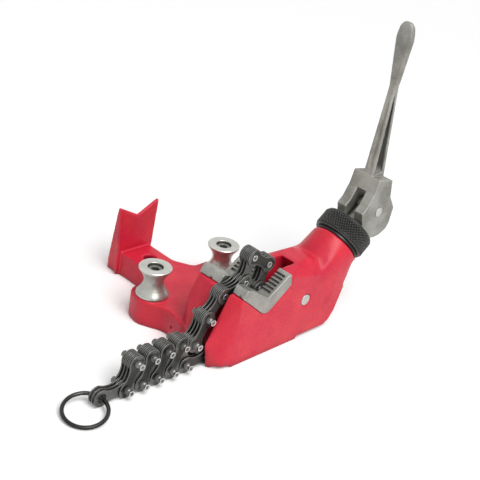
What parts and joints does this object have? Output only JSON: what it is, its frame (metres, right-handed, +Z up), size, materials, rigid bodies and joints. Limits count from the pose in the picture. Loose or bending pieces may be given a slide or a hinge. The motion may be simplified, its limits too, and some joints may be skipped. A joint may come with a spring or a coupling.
{
  "type": "chain pipe vise",
  "caption": "Bench chain pipe vise with serrated V jaws, leaf chain, roller plate, V rest, knurled adjuster and cam lever.",
  "frame": {"origin": "centre of the chain slot under the jaws' V, on the mounting face", "axes": "+Z up from the bench; Y along the pipe, +Y from the jaws towards the rollers and the V rest; +X from the chain's free end towards the lever"},
  "size_m": [0.3909, 0.2073, 0.3024],
  "materials": {
    "red_paint": "gloss",
    "jaw_steel": "satin",
    "roller_steel": "satin",
    "lever_steel": "satin",
    "pin_steel": "satin",
    "chain_steel": "satin",
    "black_steel": "satin"
  },
  "bodies": {
    "root": {"casting": "red_paint", "near_jaw": "jaw_steel", "far_jaw": "jaw_steel", "jaw_screws": "black_steel", "guide_pin": "pin_steel", "roller_sleeves": "roller_steel", "adjuster_hub": "black_steel"},
    "washer": {"thrust_washer": "lever_steel"},
    "nut": {"knurled_nut": "black_steel"},
    "spindle": {"spindle": "lever_steel", "eye_pin": "chain_steel"},
    "lever": {"lever": "lever_steel", "lever_pin": "pin_steel"},
    "front_roller": {"front_roller": "roller_steel"},
    "rear_roller": {"rear_roller": "roller_steel"},
    "ring": {"pull_ring": "black_steel"},
    "link_01": {"link_01": "chain_steel"},
    "link_02": {"link_02": "chain_steel"},
    "link_03": {"link_03": "chain_steel"},
    "link_04": {"link_04": "chain_steel"},
    "link_05": {"link_05": "chain_steel"},
    "link_06": {"link_06": "chain_steel"},
    "link_07": {"link_07": "chain_steel"},
    "link_08": {"link_08": "chain_steel"},
    "link_09": {"link_09": "chain_steel"},
    "link_10": {"link_10": "chain_steel"},
    "link_11": {"link_11": "chain_steel"},
    "link_12": {"link_12": "chain_steel"},
    "link_13": {"link_13": "chain_steel"},
    "link_14": {"link_14": "chain_steel"},
    "link_15": {"link_15": "chain_steel"},
    "link_16": {"link_16": "chain_steel"},
    "link_17": {"link_17": "chain_steel"},
    "link_18": {"link_18": "chain_steel"},
    "link_19": {"link_19": "chain_steel"},
    "link_20": {"link_20": "chain_steel"},
    "link_21": {"link_21": "chain_steel"}
  },
  "joints": [
    {"name": "nut_turn", "type": "hinge", "parent": "washer", "child": "nut", "pos_m": [0.11743, 0, 0.0798], "axis": [0.7604, 0, 0.6494], "range_deg": [0, 540]},
    {"name": "washer_slide", "type": "slide", "parent": "root", "child": "washer", "axis": [0.7604, 0, 0.6494], "range_m": [0, 0.0045]},
    {"name": "spindle_slide", "type": "slide", "parent": "washer", "child": "spindle", "axis": [0.7604, 0, 0.6494], "range_m": [0, 0.0035]},
    {"name": "lever_turn", "type": "hinge", "parent": "spindle", "child": "lever", "pos_m": [0.1556, 0, 0.1124], "axis": [0, 1, 0], "range_deg": [0, 75]},
    {"name": "front_roller_spin", "type": "hinge", "parent": "root", "child": "front_roller", "pos_m": [-0.0453, 0.0817, 0.04], "axis": [0, 0, 1], "continuous": true},
    {"name": "rear_roller_spin", "type": "hinge", "parent": "root", "child": "rear_roller", "pos_m": [0.0453, 0.0817, 0.04], "axis": [0, 0, 1], "continuous": true},
    {"name": "link_01_swing", "type": "hinge", "parent": "spindle", "child": "link_01", "pos_m": [0.08002, 0, 0.04784], "axis": [0, 1, 0], "range_deg": [0, 1]},
    {"name": "link_02_swing", "type": "hinge", "parent": "link_01", "child": "link_02", "pos_m": [0.06438, 0, 0.02783], "axis": [0, 1, 0], "range_deg": [0, 1]},
    {"name": "link_03_swing", "type": "hinge", "parent": "link_02", "child": "link_03", "pos_m": [0.03917, 0, 0.02473], "axis": [0, 1, 0], "range_deg": [0, 5]},
    {"name": "link_04_swing", "type": "hinge", "parent": "link_03", "child": "link_04", "pos_m": [0.0246, 0, 0.04554], "axis": [0, 1, 0], "range_deg": [0, 5]},
    {"name": "link_05_swing", "type": "hinge", "parent": "link_04", "child": "link_05", "pos_m": [0.00581, 0, 0.06264], "axis": [0, 1, 0], "range_deg": [0, 6]},
    {"name": "link_06_swing", "type": "hinge", "parent": "link_05", "child": "link_06", "pos_m": [0.013, 0, 0.087], "axis": [0, 1, 0], "range_deg": [0, 25]},
    {"name": "link_07_swing", "type": "hinge", "parent": "link_06", "child": "link_07", "pos_m": [-0.009, 0, 0.0997], "axis": [0, 1, 0], "range_deg": [0, 25]},
    {"name": "link_08_swing", "type": "hinge", "parent": "link_07", "child": "link_08", "pos_m": [-0.01557, 0, 0.07516], "axis": [0, 1, 0], "range_deg": [0, 20]},
    {"name": "link_09_swing", "type": "hinge", "parent": "link_08", "child": "link_09", "pos_m": [-0.04011, 0, 0.06859], "axis": [0, 1, 0], "range_deg": [0, 20]},
    {"name": "link_10_swing", "type": "hinge", "parent": "link_09", "child": "link_10", "pos_m": [-0.0571, 0, 0.04972], "axis": [0, 1, 0], "range_deg": [0, 20]},
    {"name": "link_11_swing", "type": "hinge", "parent": "link_10", "child": "link_11", "pos_m": [-0.06903, 0, 0.02729], "axis": [0, 1, 0], "range_deg": [0, 20]},
    {"name": "link_12_swing", "type": "hinge", "parent": "link_11", "child": "link_12", "pos_m": [-0.05161, 0, 0.0088], "axis": [0, -1, 0], "range_deg": [0, 25]},
    {"name": "link_13_swing", "type": "hinge", "parent": "link_12", "child": "link_13", "pos_m": [-0.077, 0, 0.0082], "axis": [0, -1, 0], "range_deg": [0, 100]},
    {"name": "link_14_swing", "type": "hinge", "parent": "link_13", "child": "link_14", "pos_m": [-0.08555, 0, 0.03212], "axis": [0, 1, 0], "range_deg": [0, 100]},
    {"name": "link_15_swing", "type": "hinge", "parent": "link_14", "child": "link_15", "pos_m": [-0.0941, 0, 0.0082], "axis": [0, -1, 0], "range_deg": [0, 100]},
    {"name": "link_16_swing", "type": "hinge", "parent": "link_15", "child": "link_16", "pos_m": [-0.10265, 0, 0.03212], "axis": [0, 1, 0], "range_deg": [0, 100]},
    {"name": "link_17_swing", "type": "hinge", "parent": "link_16", "child": "link_17", "pos_m": [-0.1112, 0, 0.0082], "axis": [0, -1, 0], "range_deg": [0, 100]},
    {"name": "link_18_swing", "type": "hinge", "parent": "link_17", "child": "link_18", "pos_m": [-0.11975, 0, 0.03212], "axis": [0, 1, 0], "range_deg": [0, 100]},
    {"name": "link_19_swing", "type": "hinge", "parent": "link_18", "child": "link_19", "pos_m": [-0.1283, 0, 0.0082], "axis": [0, -1, 0], "range_deg": [0, 100]},
    {"name": "link_20_swing", "type": "hinge", "parent": "link_19", "child": "link_20", "pos_m": [-0.13685, 0, 0.03212], "axis": [0, 1, 0], "range_deg": [0, 100]},
    {"name": "link_21_swing", "type": "hinge", "parent": "link_20", "child": "link_21", "pos_m": [-0.1454, 0, 0.0082], "axis": [0, 1, 0], "range_deg": [0, 60]},
    {"name": "ring_swing", "type": "hinge", "parent": "link_21", "child": "ring", "pos_m": [-0.1708, 0, 0.0082], "axis": [-0.3019, 0.9508, 0.0689], "range_deg": [0, 80]}
  ],
  "couplings": [
    {"joint": "nut_turn", "follows": "washer_slide", "rad_per_m": 2094.4},
    {"joint": "spindle_slide", "follows": "lever_turn", "m_per_rad": 0.0026738}
  ]
}
